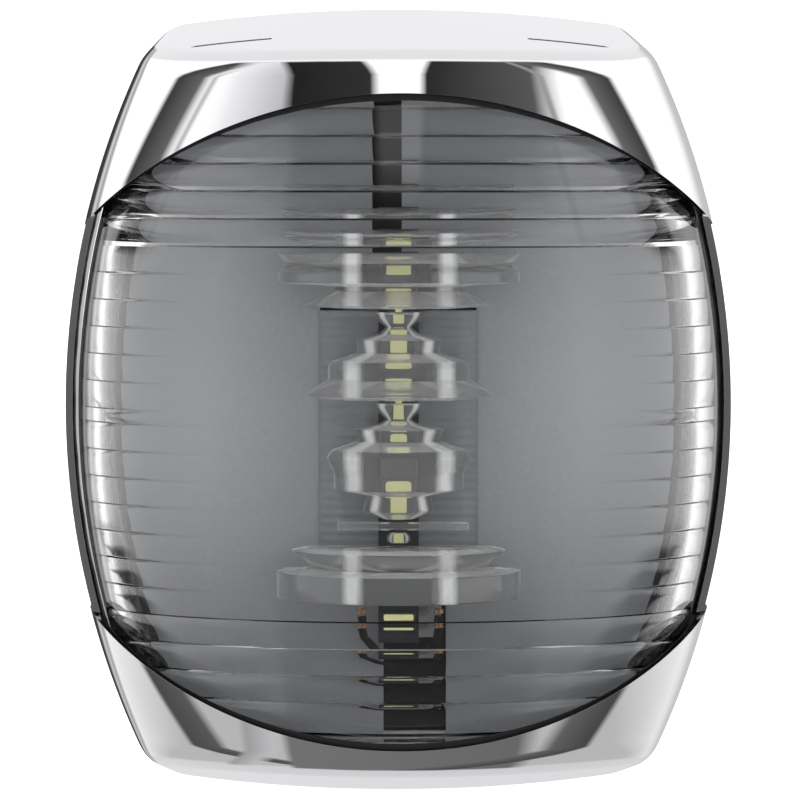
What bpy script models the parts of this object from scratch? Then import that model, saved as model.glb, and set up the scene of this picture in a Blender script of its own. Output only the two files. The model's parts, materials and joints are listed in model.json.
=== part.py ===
"""Navigation light with a polished steel cover over a clear ribbed lens.

Frame: +Z up, the light shines towards -Y, and the back lies in the plane y = 0 with the origin at its
centre. All sizes are in metres.
"""

import math

import bmesh
import bpy

MM = 0.001

# Driving sizes of the body.
HALF_HEIGHT = 45.6 * MM
HALF_WIDTH = 38.0 * MM
AXIS_DEPTH = 16.0 * MM
SIDE_ARC_RADIUS = 92.0 * MM
ROOF_ARC_RADIUS = 180.0 * MM
ROOF_SLOPE = 0.138
CREST_ROUNDING = 2.4 * MM

# Steel cover.
COVER_WALL = 0.8 * MM
VISOR_HEIGHT = {"upper": 10.85 * MM, "lower": 9.15 * MM}
WINDOW_DROP = 16.5 * MM
WINDOW_BACK_DEPTH = 14.5 * MM
SLOT_WIDTH = 9.5 * MM
SLOT_DEPTH = 1.5 * MM
SLOT_OFFSET = 18.6 * MM
SLOT_FROM_BACK = 27.0 * MM

# Clear lens.
LENS_INSET = 1.6 * MM
LENS_WALL = 2.2 * MM
RIB_PITCH = 2.97 * MM
RIB_FIRST = {"upper": 0.1 * MM, "lower": 1.3 * MM}
RIB_TAPER = 0.037
RIB_MAX_DEPTH = 1.1 * MM
RIB_FAINT_DEPTH = 0.06 * MM
RIB_STRONG_FROM = {"upper": 17.0 * MM, "lower": 21.0 * MM}
RIB_RISER = 0.05

# Seals.
SEAL_WALL = 0.4 * MM
SEAL_LIP = 0.8 * MM
SEAL_LIP_TAPER = 0.9
SEAL_COVERED = 2.6 * MM
RIM_SEAL_DEPTH = 1.0 * MM

# Base and what it carries.
BASE_DEPTH = 5.0 * MM
SCREW_HOLE_RADIUS = 2.2 * MM
SCREW_HOLE_HEIGHT = 26.0 * MM
SCREW_HOLE_SIDE = 20.0 * MM
INLET_RADIUS = 3.4 * MM
INLET_HEIGHT = -18.0 * MM
INLET_SIDE = -18.0 * MM
FRAME_WALL = 1.5 * MM
FRAME_SLOT_HALF_WIDTH = 9.2 * MM
FRAME_END_WALL = 2.4 * MM
SCREEN_WALL = 1.2 * MM
SCREEN_LIFT = 0.3 * MM
SCREEN_SWEEP = math.radians(7.5)
SCREEN_INNER_EDGES = {
    "left_screen": (-3.0 * MM, -1.7 * MM),
    "right_screen": (0.4 * MM, 5.5 * MM),
}
SCREEN_LEG = 2.4 * MM
HOLDER_HALF_WIDTH = 8.7 * MM
HOLDER_TOP = 10.7 * MM
HOLDER_BOTTOM = -16.5 * MM
HOLDER_RIB = 0.5 * MM
HOLDER_RIB_PITCH = 3.0 * MM
HOLDER_GROOVE_SHARE = 0.4
HOLDER_SCREW_RADIUS = 1.4 * MM
HOLDER_SCREW_HEAD_RADIUS = 2.5 * MM
HOLDER_SCREW_HEAD = 1.4 * MM
HOLDER_SCREW_BITE = 3.5 * MM
HOLDER_SCREW_IN = 3.0 * MM
HOLDER_SCREW_SUNK = 0.6 * MM
DRIVE_HALF_LENGTH = 1.6 * MM
DRIVE_HALF_WIDTH = 0.35 * MM
DRIVE_DEPTH = 0.7 * MM
BOARD_HALF_WIDTH = 2.3 * MM
BOARD_WALL = 1.0 * MM
BOARD_TOP = 17.4 * MM
BOARD_BOTTOM = -27.0 * MM
LED_DEPTH = 0.8 * MM
CHIPS = (
    ("resistor_upper", -1.2 * MM, 15.0 * MM, 1.6 * MM, 3.2 * MM),
    ("resistor_lower", 0.0 * MM, -20.0 * MM, 1.6 * MM, 3.2 * MM),
    ("diode", 0.9 * MM, -24.0 * MM, 1.8 * MM, 3.4 * MM),
)
POST_RADIUS = 1.0 * MM
POST_LENGTH = 1.6 * MM
POST_HEIGHT = -22.9 * MM
POST_SIDES = {"left": -4.2 * MM, "right": 4.6 * MM}
TERMINAL_HALF_WIDTH = 5.0 * MM
TERMINAL_BOTTOM = -26.6 * MM
TERMINAL_TOP = -19.6 * MM
TERMINAL_PROUD = 1.0 * MM
TERMINAL_SCREW_SIDE = 2.5 * MM
TERMINAL_SCREW_RADIUS = 1.1 * MM
TERMINAL_SCREW_LENGTH = 0.8 * MM
TERMINAL_WELL_RADIUS = 1.5 * MM
TERMINAL_WELL_DEPTH = 1.0 * MM

GAP = 0.3 * MM
THIN_GAP = 0.2 * MM
AROUND = 24
WINDOW_STEPS = 28
WALL_ROWS = 12

# Light-emitting diodes: name, width, height, centre height.
LEDS = (
    ("led_1", 2.6 * MM, 5.0 * MM, 12.2 * MM),
    ("led_2", 2.6 * MM, 5.0 * MM, 6.5 * MM),
    ("led_3", 2.6 * MM, 5.0 * MM, 0.8 * MM),
    ("led_4", 2.6 * MM, 5.0 * MM, -4.9 * MM),
    ("led_5", 2.6 * MM, 5.0 * MM, -10.6 * MM),
    ("led_pilot", 1.2 * MM, 1.2 * MM, -15.0 * MM),
    ("led_bottom", 4.0 * MM, 1.0 * MM, -24.1 * MM),
)

# Turned optics, each a half turn in front of the diodes: radius and height in millimetres, top to bottom.
OPTICS = {
    "upper_ring_optic": (
        (0, 17.3), (13.8, 17.3), (13.0, 16.0), (13.8, 15.1), (13.8, 13.9), (7.5, 13.5), (7.4, 13.0),
        (10.6, 11.4), (7.2, 11.0), (0, 11.0),
    ),
    "middle_optic": (
        (0, 10.6), (2.9, 10.6), (2.6, 9.9), (1.4, 8.8), (2.4, 8.0), (4.9, 7.4), (4.6, 6.0), (7.6, 5.0),
        (8.1, 4.3), (8.0, 3.0), (10.8, 1.2), (7.6, 0.7), (0, 0.7),
    ),
    "waist_optic": (
        (0, 0.3), (2.9, 0.3), (2.6, -0.4), (1.4, -1.6), (2.4, -2.2), (5.1, -2.7), (4.6, -4.0), (7.6, -5.0),
        (8.2, -5.8), (7.4, -7.8), (7.4, -9.5), (3.6, -10.2), (4.1, -11.9), (1.8, -12.9), (0, -12.9),
    ),
    "pilot_optic": ((0, -14.4), (1.0, -14.4), (1.4, -15.0), (1.2, -15.6), (0, -15.6)),
    "lower_ring_optic": (
        (0, -15.9), (10.6, -15.9), (12.3, -16.3), (10.0, -18.3), (13.9, -18.6), (13.9, -21.7), (0, -21.7),
    ),
}
LEAD_RADIUS = 0.5 * MM
# Routes of the two inner leads, in millimetres, from the terminal to the posts beside the board.
INNER_LEADS = {
    "left": (
        (-2.5, -7.0, -26.9), (-1.6, -7.4, -28.6), (-0.5, -9.6, -29.4), (-0.4, -12.8, -29.2),
        (-2.4, -14.3, -28.2), (-3.9, -14.8, -26.2), (-4.2, -14.9, -24.0),
    ),
    "right": (
        (2.5, -7.0, -26.9), (3.2, -7.6, -28.2), (3.6, -10.0, -28.8), (3.7, -12.9, -28.4),
        (4.4, -14.3, -26.8), (4.6, -14.9, -24.0),
    ),
}
LINK_BAR = ((-7.0 * MM, 8.0 * MM), (-14.1 * MM, -13.2 * MM))
LINK_BAR_DEPTH = 1.6 * MM
LINK_BAR_EDGE = 0.15 * MM

# The window's arcs run from their apex, below the visor, down by the drop at the body's full width.
WINDOW_APEX = {half: HALF_HEIGHT - height for half, height in VISOR_HEIGHT.items()}
WINDOW_ARC_RADIUS = (HALF_WIDTH**2 + WINDOW_DROP**2) / (2 * WINDOW_DROP)

# Depths that follow from the sizes above, measured from the back.
RIM_SEAL_BACK = BASE_DEPTH + GAP
LENS_BACK = RIM_SEAL_BACK + RIM_SEAL_DEPTH + GAP
LENS_INNER_INSET = LENS_INSET + LENS_WALL
FRAME_BACK = BASE_DEPTH + GAP
FRAME_FRONT = FRAME_BACK + FRAME_WALL
FRAME_INSET = LENS_INNER_INSET + RIB_MAX_DEPTH + GAP
FRAME_SLOT_HALF_HEIGHT = HALF_HEIGHT - FRAME_INSET - FRAME_END_WALL
SCREEN_REACH = HALF_WIDTH - FRAME_INSET
SCREEN_FRONT_DEPTH = FRAME_FRONT + SCREEN_LIFT + SCREEN_WALL + SCREEN_REACH * math.tan(SCREEN_SWEEP)
LED_FACE = AXIS_DEPTH - GAP
BOARD_FRONT = LED_FACE - LED_DEPTH - GAP
BOARD_BACK = BOARD_FRONT - BOARD_WALL
HOLDER_FRONT = BOARD_BACK - GAP
HOLDER_BACK = FRAME_BACK

MATERIALS = {
    "polished_steel": ((0.78, 0.79, 0.80), 0.06, 1.0),
    "clear_lens": ((0.90, 0.92, 0.93), 0.04, 0.0),
    "clear_optic": ((0.94, 0.95, 0.96), 0.04, 0.0),
    "black_rubber": ((0.02, 0.02, 0.02), 0.7, 0.0),
    "black_plastic": ((0.02, 0.02, 0.022), 0.5, 0.0),
    "pale_plastic": ((0.62, 0.63, 0.64), 0.5, 0.0),
    "grey_plastic": ((0.22, 0.22, 0.23), 0.55, 0.0),
    "holder_grey": ((0.16, 0.16, 0.17), 0.55, 0.0),
    "board_black": ((0.025, 0.028, 0.03), 0.45, 0.0),
    "phosphor_yellow": ((0.80, 0.78, 0.36), 0.5, 0.0),
    "ceramic_black": ((0.03, 0.03, 0.03), 0.5, 0.0),
    "brass": ((0.70, 0.50, 0.28), 0.3, 1.0),
    "zinc_steel": ((0.55, 0.56, 0.57), 0.35, 1.0),
}


def clear_scene():
    for obj in list(bpy.data.objects):
        bpy.data.objects.remove(obj, do_unlink=True)


def make_collection(name):
    collection = bpy.data.collections.new(name)
    bpy.context.scene.collection.children.link(collection)
    return collection


def material(name):
    if name in bpy.data.materials:
        return bpy.data.materials[name]
    colour, roughness, metallic = MATERIALS[name]
    mat = bpy.data.materials.new(name)
    mat.use_nodes = True
    shader = mat.node_tree.nodes["Principled BSDF"]
    shader.inputs["Base Color"].default_value = (*colour, 1.0)
    shader.inputs["Roughness"].default_value = roughness
    shader.inputs["Metallic"].default_value = metallic
    return mat


def side_half_width(height, inset):
    """Half width of the body at a height, on the side arc set in by inset."""
    radius = SIDE_ARC_RADIUS - inset
    return HALF_WIDTH - inset - radius + math.sqrt(radius**2 - height**2)


def roof_height(x, y, inset):
    """Height of the roof over a point: an arc across X that falls towards the front."""
    return HALF_HEIGHT - inset - x**2 / (2 * ROOF_ARC_RADIUS) + ROOF_SLOPE * y


def plan_columns(back_depth):
    """Columns round the plan, left to right: a direction and, on the straight sides, a fixed y."""
    columns = [(-1.0, None, -back_depth)]
    for step in range(AROUND + 1):
        angle = math.pi * (step / AROUND - 0.5)
        columns.append((math.sin(angle), math.cos(angle), None))
    columns.append((1.0, None, -back_depth))
    return columns


def column_point(column, reach, height):
    side, forward, fixed_y = column
    y = fixed_y if forward is None else -AXIS_DEPTH - reach * forward
    return (reach * side, y, height)


def crest(column, inset):
    """Where the side arc of a column would meet the roof."""
    height = HALF_HEIGHT - inset
    for _ in range(12):
        reach = side_half_width(height, inset)
        x, y, _ = column_point(column, reach, height)
        height = roof_height(x, y, inset)
    return reach, height


def rib_half(inset, half, top):
    """Prism ribs of one half, as (reach, height): each is thickest on its side nearest mid-height."""
    first = RIB_FIRST[half]
    rows = [(side_half_width(first, inset), first)]
    for step in range(int((top - first) / RIB_PITCH)):
        low = first + step * RIB_PITCH
        start = low + RIB_RISER * RIB_PITCH
        end = low + RIB_PITCH
        depth = min(RIB_MAX_DEPTH, RIB_TAPER * low) if low > RIB_STRONG_FROM[half] else RIB_FAINT_DEPTH
        rows.append((side_half_width(start, inset) - depth, start))
        rows.append((side_half_width(end, inset), end))
    return rows


def rib_profile(inset, top):
    """The ribs of both halves: the lower ones are turned over."""
    upper = rib_half(inset, "upper", top)
    lower = rib_half(inset, "lower", top)
    return [(reach, -height) for reach, height in reversed(lower)] + upper


def column_profile(column, inset, rounding, rib_top=None):
    """Points of one column from the middle of the floor, up the side, to the middle of the roof."""
    crest_reach, crest_height = crest(column, inset)
    wall_top = crest_height - rounding
    roof_reach = crest_reach - rounding
    x, y, _ = column_point(column, roof_reach, 0.0)
    start = (side_half_width(wall_top, inset), wall_top)
    corner = (crest_reach, crest_height)
    end = (roof_reach, roof_height(x, y, inset))
    upper = [start]
    for t in (0.33, 0.67):
        upper.append(tuple(
            (1 - t) ** 2 * a + 2 * t * (1 - t) * b + t * t * c for a, b, c in zip(start, corner, end)
        ))
    upper.append(end)
    for share in (0.66, 0.33, 0.0):
        reach = roof_reach * share
        x, y, _ = column_point(column, reach, 0.0)
        upper.append((reach, roof_height(x, y, inset)))
    lower = [(reach, -height) for reach, height in reversed(upper)]
    if rib_top:
        wall = rib_profile(inset, rib_top)
    else:
        heights = [wall_top * (2 * step / WALL_ROWS - 1) for step in range(1, WALL_ROWS)]
        wall = [(side_half_width(height, inset), height) for height in heights]
    return [column_point(column, reach, height) for reach, height in lower + wall + upper]


def body_grid(inset, back_depth, rounding, ribbed=False):
    columns = plan_columns(back_depth)
    rib_top = None
    if ribbed:
        rib_top = min(crest(column, inset)[1] for column in columns) - rounding
    return [column_profile(column, inset, rounding, rib_top) for column in columns]


def link(obj, collection, material_name=None):
    collection.objects.link(obj)
    if material_name:
        obj.data.materials.append(material(material_name))
    return obj


def mesh_object(name, bm, collection, material_name=None):
    mesh = bpy.data.meshes.new(name)
    bm.to_mesh(mesh)
    bm.free()
    return link(bpy.data.objects.new(name, mesh), collection, material_name)


def loft_shell(name, outer, inner, collection, material_name=None):
    """A hollow shell between two grids of columns, open at the back and closed along the rim."""
    bm = bmesh.new()
    sides = []
    for grid in (outer, inner):
        sides.append([[bm.verts.new(point) for point in column] for column in grid])
    for grid, flip in zip(sides, (False, True)):
        for left, right in zip(grid, grid[1:]):
            for row in range(len(left) - 1):
                corners = (left[row], right[row], right[row + 1], left[row + 1])
                bm.faces.new(corners[::-1] if flip else corners)
    rims = [rim_line(grid) for grid in sides]
    if len(rims[0]) == len(rims[1]):
        for row in range(len(rims[0]) - 1):
            bm.faces.new((rims[0][row], rims[0][row + 1], rims[1][row + 1], rims[1][row]))
    bmesh.ops.remove_doubles(bm, verts=bm.verts, dist=0.00001)
    bmesh.ops.dissolve_degenerate(bm, edges=bm.edges, dist=0.00001)
    if len(rims[0]) != len(rims[1]):
        border = [edge for edge in bm.edges if edge.is_boundary]
        bmesh.ops.triangle_fill(bm, edges=border, use_beauty=True)
    bmesh.ops.recalc_face_normals(bm, faces=bm.faces)
    return mesh_object(name, bm, collection, material_name)


def rim_line(grid):
    """The back edge of a grid: down the last column and up the first."""
    return grid[0] + grid[-1][::-1]


def section_outline(inset, depth, rounding):
    """The body's outline at a depth, as a closed loop of (x, z)."""
    left = column_profile((-1.0, None, -depth), inset, rounding)
    right = column_profile((1.0, None, -depth), inset, rounding)
    loop = right[1:-1] + left[::-1][:-1]
    return [(x, z) for x, _, z in [right[0]] + loop]


def plate(name, outlines, front, back, collection, material_name=None):
    """A flat plate in the XZ plane between two depths, from one or more closed outlines."""
    curve = bpy.data.curves.new(name + "_outline", "CURVE")
    curve.dimensions = "2D"
    curve.fill_mode = "BOTH"
    curve.extrude = (front - back) / 2
    for outline in outlines:
        spline = curve.splines.new("POLY")
        spline.points.add(len(outline) - 1)
        for point, (x, z) in zip(spline.points, outline):
            point.co = (x, z, 0.0, 1.0)
        spline.use_cyclic_u = True
    guide = bpy.data.objects.new(name + "_outline", curve)
    guide.rotation_euler = (math.pi / 2, 0.0, 0.0)
    guide.location = (0.0, -(front + back) / 2, 0.0)
    collection.objects.link(guide)
    return meshed(guide, name, collection, material_name)


def meshed(guide, name, collection, material_name=None):
    """Replaces a curve by a welded mesh in the same place."""
    bpy.context.view_layer.update()
    evaluated = guide.evaluated_get(bpy.context.evaluated_depsgraph_get())
    mesh = bpy.data.meshes.new_from_object(evaluated)
    mesh.name = name
    mesh.materials.clear()
    bm = bmesh.new()
    bm.from_mesh(mesh)
    bmesh.ops.remove_doubles(bm, verts=bm.verts, dist=0.000001)
    bmesh.ops.recalc_face_normals(bm, faces=bm.faces)
    bm.to_mesh(mesh)
    bm.free()
    obj = bpy.data.objects.new(name, mesh)
    obj.matrix_world = guide.matrix_world.copy()
    curve = guide.data
    bpy.data.objects.remove(guide)
    bpy.data.curves.remove(curve)
    return link(obj, collection, material_name)


def box(name, low, high, collection, material_name=None):
    bm = bmesh.new()
    bmesh.ops.create_cube(bm, size=1.0)
    size = [b - a for a, b in zip(low, high)]
    centre = [(a + b) / 2 for a, b in zip(low, high)]
    bmesh.ops.scale(bm, vec=size, verts=bm.verts)
    obj = mesh_object(name, bm, collection, material_name)
    obj.location = centre
    return obj


def rod(name, radius, length, centre, collection, material_name=None, axis="Y", segments=20):
    bm = bmesh.new()
    bmesh.ops.create_cone(
        bm, cap_ends=True, segments=segments, radius1=radius, radius2=radius, depth=length
    )
    obj = mesh_object(name, bm, collection, material_name)
    if axis == "Y":
        obj.rotation_euler = (math.pi / 2, 0.0, 0.0)
    obj.location = centre
    obj.data.shade_smooth()
    obj.data.set_sharp_from_angle(angle=math.radians(40))
    return obj


def wire(name, points, radius, collection, material_name):
    curve = bpy.data.curves.new(name + "_route", "CURVE")
    curve.dimensions = "3D"
    curve.bevel_depth = radius
    curve.bevel_resolution = 2
    curve.use_fill_caps = True
    spline = curve.splines.new("POLY")
    spline.points.add(len(points) - 1)
    for point, place in zip(spline.points, points):
        point.co = (*place, 1.0)
    guide = bpy.data.objects.new(name + "_route", curve)
    collection.objects.link(guide)
    return meshed(guide, name, collection, material_name)


def boolean(obj, tool, operation="DIFFERENCE"):
    modifier = obj.modifiers.new(operation.lower() + "_" + tool.name, "BOOLEAN")
    modifier.object = tool
    modifier.operation = operation
    modifier.solver = "EXACT"
    tool.hide_render = True
    tool.display_type = "WIRE"


def bevel(obj, width, segments=1):
    modifier = obj.modifiers.new("edges", "BEVEL")
    modifier.width = width
    modifier.segments = segments
    modifier.limit_method = "ANGLE"


def half_turn(name, profile, collection, material_name, steps=24):
    """Turns a profile of (radius, height) through the front half circle and closes the flat back."""
    bm = bmesh.new()
    verts = [bm.verts.new((radius * MM, 0.0, height * MM)) for radius, height in profile]
    edges = [bm.edges.new(pair) for pair in zip(verts, verts[1:])]
    bmesh.ops.spin(
        bm, geom=verts + edges, cent=(0, 0, 0), axis=(0, 0, 1), angle=-math.pi, steps=steps,
        use_duplicate=False,
    )
    bmesh.ops.remove_doubles(bm, verts=bm.verts, dist=0.000001)
    border = [edge for edge in bm.edges if edge.is_boundary]
    bmesh.ops.triangle_fill(bm, edges=border, use_beauty=True)
    bmesh.ops.recalc_face_normals(bm, faces=bm.faces)
    obj = mesh_object(name, bm, collection, material_name)
    obj.location = (0.0, -AXIS_DEPTH, 0.0)
    obj.data.shade_smooth()
    obj.data.set_sharp_from_angle(angle=math.radians(30))
    return obj


def window_arc(x, apex, offset=0.0):
    """Height of the window's edge at x, moved out of the window by offset."""
    radius = WINDOW_ARC_RADIUS + offset
    return apex - WINDOW_ARC_RADIUS + math.sqrt(radius**2 - x**2)


def window_steps():
    reach = HALF_WIDTH + COVER_WALL
    return [reach * (2 * step / WINDOW_STEPS - 1) for step in range(WINDOW_STEPS + 1)]


def window_outline():
    """The window between its two arcs."""
    upper = [(x, window_arc(x, WINDOW_APEX["upper"])) for x in window_steps()]
    lower = [(x, -window_arc(x, WINDOW_APEX["lower"])) for x in reversed(window_steps())]
    return upper + lower


def seal_outline(half):
    """A crescent along one arc: under the cover on one side, and on the other a lip that thins out
    towards the body's sides."""
    apex = WINDOW_APEX[half]
    sign = 1.0 if half == "upper" else -1.0
    covered = [(x, sign * window_arc(x, apex, SEAL_COVERED)) for x in window_steps()]
    lip = []
    for x in reversed(window_steps()):
        width = SEAL_LIP * max(0.0, 1.0 - SEAL_LIP_TAPER * (x / HALF_WIDTH) ** 2)
        lip.append((x, sign * (window_arc(x, apex) - width)))
    return covered + lip


def rectangle(x_low, x_high, z_low, z_high):
    return [(x_low, z_low), (x_high, z_low), (x_high, z_high), (x_low, z_high)]


def slot_centre(side):
    x = side * SLOT_OFFSET
    return x, -SLOT_FROM_BACK, roof_height(x, -SLOT_FROM_BACK, 0.0)


def make_cover(parts, cutters):
    cover = loft_shell(
        "front_cover",
        body_grid(0.0, 0.0, CREST_ROUNDING),
        body_grid(COVER_WALL, 0.0, CREST_ROUNDING - COVER_WALL),
        parts,
        "polished_steel",
    )
    front = AXIS_DEPTH + HALF_WIDTH + COVER_WALL
    window = plate("window_cutter", [window_outline()], front, WINDOW_BACK_DEPTH, cutters)
    boolean(cover, window)
    for side, word in ((-1, "left"), (1, "right")):
        x, y, z = slot_centre(side)
        low = (x - SLOT_WIDTH / 2, y - SLOT_DEPTH / 2, z - 3 * COVER_WALL)
        high = (x + SLOT_WIDTH / 2, y + SLOT_DEPTH / 2, z + COVER_WALL)
        boolean(cover, box(word + "_slot_cutter", low, high, cutters))


def make_lens(parts):
    loft_shell(
        "lens",
        body_grid(LENS_INSET, LENS_BACK, CREST_ROUNDING - COVER_WALL),
        body_grid(LENS_INNER_INSET, LENS_BACK, CREST_ROUNDING - COVER_WALL, ribbed=True),
        parts,
        "clear_lens",
    )


def make_window_seals(parts, cutters):
    inset = COVER_WALL + THIN_GAP
    front = AXIS_DEPTH + HALF_WIDTH + COVER_WALL
    for half in ("upper", "lower"):
        name = half + "_window_seal"
        seal = loft_shell(
            name,
            body_grid(inset, WINDOW_BACK_DEPTH + GAP, CREST_ROUNDING - inset),
            body_grid(inset + SEAL_WALL, WINDOW_BACK_DEPTH + GAP, CREST_ROUNDING - inset),
            parts,
            "black_rubber",
        )
        crescent = plate(name + "_cutter", [seal_outline(half)], front, WINDOW_BACK_DEPTH / 2, cutters)
        boolean(seal, crescent, "INTERSECT")


def make_base(parts, cutters):
    inset = COVER_WALL + GAP
    rounding = CREST_ROUNDING - COVER_WALL
    base = plate(
        "base_body", [section_outline(inset, BASE_DEPTH, rounding)], BASE_DEPTH, 0.0, parts,
        "black_plastic",
    )
    for word, sign in (("upper", 1), ("lower", -1)):
        place = (-sign * SCREW_HOLE_SIDE, -BASE_DEPTH / 2, sign * SCREW_HOLE_HEIGHT)
        boolean(base, rod(word + "_hole_cutter", SCREW_HOLE_RADIUS, BASE_DEPTH * 2, place, cutters))
    inlet = (INLET_SIDE, -BASE_DEPTH / 2, INLET_HEIGHT)
    boolean(base, rod("inlet_cutter", INLET_RADIUS, BASE_DEPTH * 2, inlet, cutters))
    grommet = rod("cable_grommet", INLET_RADIUS - GAP, BASE_DEPTH - GAP, inlet, parts, "black_rubber")
    boolean(grommet, rod("cord_cutter", INLET_RADIUS / 3, BASE_DEPTH * 2, inlet, cutters, segments=12))

    outer = section_outline(LENS_INSET + GAP, LENS_BACK, rounding)
    inner = section_outline(LENS_INNER_INSET, LENS_BACK, rounding)
    plate("rim_seal", [outer, inner], RIM_SEAL_BACK + RIM_SEAL_DEPTH, RIM_SEAL_BACK, parts, "black_rubber")
    return base


def make_inner_frame(parts):
    outline = section_outline(FRAME_INSET, FRAME_FRONT, CREST_ROUNDING)
    opening = rectangle(
        -FRAME_SLOT_HALF_WIDTH, FRAME_SLOT_HALF_WIDTH, -FRAME_SLOT_HALF_HEIGHT, FRAME_SLOT_HALF_HEIGHT
    )
    plate("inner_frame", [outline, opening], FRAME_FRONT, FRAME_BACK, parts, "pale_plastic")


def make_screens(parts, cutters):
    """Two grey screens that sweep back from the holder, each on two legs on the inner frame."""
    notch = HOLDER_HALF_WIDTH + GAP
    outline = section_outline(FRAME_INSET, SCREEN_FRONT_DEPTH, CREST_ROUNDING)
    for name, (upper_edge, lower_edge) in SCREEN_INNER_EDGES.items():
        side = -1.0 if name == "left_screen" else 1.0
        nearest = max(abs(upper_edge), abs(lower_edge)) + GAP
        half = [(x, z) for x, z in outline if x * side > nearest]
        half.sort(key=lambda point: math.atan2(point[1], point[0] * side))
        z_top = roof_height(0.0, -SCREEN_FRONT_DEPTH, FRAME_INSET)
        inner = [
            (upper_edge, z_top),
            (upper_edge, HOLDER_TOP + GAP),
            (side * notch, HOLDER_TOP + GAP),
            (side * notch, HOLDER_BOTTOM - GAP),
            (lower_edge, HOLDER_BOTTOM - GAP),
            (lower_edge, -z_top),
        ]
        screen = plate(
            name, [half + inner], SCREEN_FRONT_DEPTH, SCREEN_FRONT_DEPTH - SCREEN_WALL, parts,
            "grey_plastic",
        )
        screen.data.transform(screen.matrix_world)
        screen.matrix_world.identity()
        for vertex in screen.data.vertices:
            vertex.co.y += abs(vertex.co.x) * math.tan(SCREEN_SWEEP)
        for word, sign in (("upper", 1), ("lower", -1)):
            x = side * (HALF_WIDTH / 2)
            z = sign * HALF_HEIGHT / 2
            leg_front = SCREEN_FRONT_DEPTH - abs(x) * math.tan(SCREEN_SWEEP) - SCREEN_WALL / 2
            low = (x - SCREEN_LEG / 2, -leg_front, z - SCREEN_LEG / 2)
            high = (x + SCREEN_LEG / 2, -FRAME_FRONT - GAP, z + SCREEN_LEG / 2)
            leg = box(name + "_" + word + "_leg", low, high, cutters)
            boolean(screen, leg, "UNION")


def make_holder(parts, cutters):
    holder = box(
        "board_holder",
        (-HOLDER_HALF_WIDTH, -HOLDER_FRONT, HOLDER_BOTTOM),
        (HOLDER_HALF_WIDTH, -HOLDER_BACK, HOLDER_TOP),
        parts,
        "holder_grey",
    )
    groove = HOLDER_GROOVE_SHARE * HOLDER_RIB_PITCH / 2
    reach = HOLDER_HALF_WIDTH + GAP
    count = int((HOLDER_TOP - HOLDER_BOTTOM) / HOLDER_RIB_PITCH)
    for step in range(count):
        z = HOLDER_TOP - (step + 0.5) * HOLDER_RIB_PITCH - groove
        low = (-reach, -HOLDER_FRONT - HOLDER_RIB, z - groove)
        high = (reach, -HOLDER_FRONT + HOLDER_RIB, z + groove)
        boolean(holder, box("groove_cutter_%d" % step, low, high, cutters))
    box(
        "led_board",
        (-BOARD_HALF_WIDTH, -BOARD_FRONT, BOARD_BOTTOM),
        (BOARD_HALF_WIDTH, -BOARD_BACK, BOARD_TOP),
        parts,
        "board_black",
    )
    for name, width, height, z in LEDS:
        led = box(
            name,
            (-width / 2, -LED_FACE, z - height / 2),
            (width / 2, -LED_FACE + LED_DEPTH, z + height / 2),
            parts,
            "phosphor_yellow",
        )
        bevel(led, LED_DEPTH / 4)
    return holder


def make_board_parts(parts):
    """Chips on the back of the board, where the holder doesn't cover it."""
    face = -BOARD_BACK + GAP
    for name, x, z, width, height in CHIPS:
        chip = box(
            name,
            (x - width / 2, face, z - height / 2),
            (x + width / 2, face + LED_DEPTH, z + height / 2),
            parts,
            "ceramic_black",
        )
        bevel(chip, LED_DEPTH / 5)


def make_holder_screws(base, holder, parts, cutters):
    """Two screws, sunk in the base's back, that pass through the base into the holder."""
    head_back = -HOLDER_SCREW_SUNK
    head_front = head_back - HOLDER_SCREW_HEAD
    tip = -HOLDER_BACK - HOLDER_SCREW_IN
    for word, side, z in (
        ("left", -1, HOLDER_BOTTOM + HOLDER_SCREW_BITE),
        ("right", 1, HOLDER_TOP - HOLDER_SCREW_BITE),
    ):
        x = side * (HOLDER_HALF_WIDTH - HOLDER_SCREW_BITE)
        name = "holder_screw_" + word
        head_centre = (x, (head_back + head_front) / 2, z)
        screw = rod(name, HOLDER_SCREW_HEAD_RADIUS, HOLDER_SCREW_HEAD, head_centre, parts, "zinc_steel")
        shank_back = (head_back + head_front) / 2
        shank = rod(
            name + "_shank", HOLDER_SCREW_RADIUS, shank_back - tip, (x, (shank_back + tip) / 2, z), cutters
        )
        boolean(screw, shank, "UNION")
        for turn, angle in (("a", 0.0), ("b", math.pi / 2)):
            low = (-DRIVE_HALF_LENGTH, -DRIVE_DEPTH, -DRIVE_HALF_WIDTH)
            high = (DRIVE_HALF_LENGTH, DRIVE_DEPTH, DRIVE_HALF_WIDTH)
            drive = box(name + "_drive_" + turn, low, high, cutters)
            drive.location = (x, head_back, z)
            drive.rotation_euler = (0.0, angle, 0.0)
            boolean(screw, drive)
        well_depth = HOLDER_SCREW_SUNK + HOLDER_SCREW_HEAD + GAP
        well = rod(name + "_well", HOLDER_SCREW_HEAD_RADIUS + GAP, 2 * well_depth, (x, 0.0, z), cutters)
        boolean(base, well)
        bore_length = -tip + GAP
        bore = rod(
            name + "_bore", HOLDER_SCREW_RADIUS + GAP, 2 * bore_length, (x, 0.0, z), cutters
        )
        boolean(base, bore)
        boolean(holder, bore)


def make_posts(parts):
    """Copper posts below the lower ring, where the inner leads reach the board."""
    for word, x in POST_SIDES.items():
        place = (x, -LED_FACE + LED_DEPTH, POST_HEIGHT)
        rod("lead_post_" + word, POST_RADIUS, POST_LENGTH, place, parts, "brass", axis="Z", segments=16)


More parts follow.
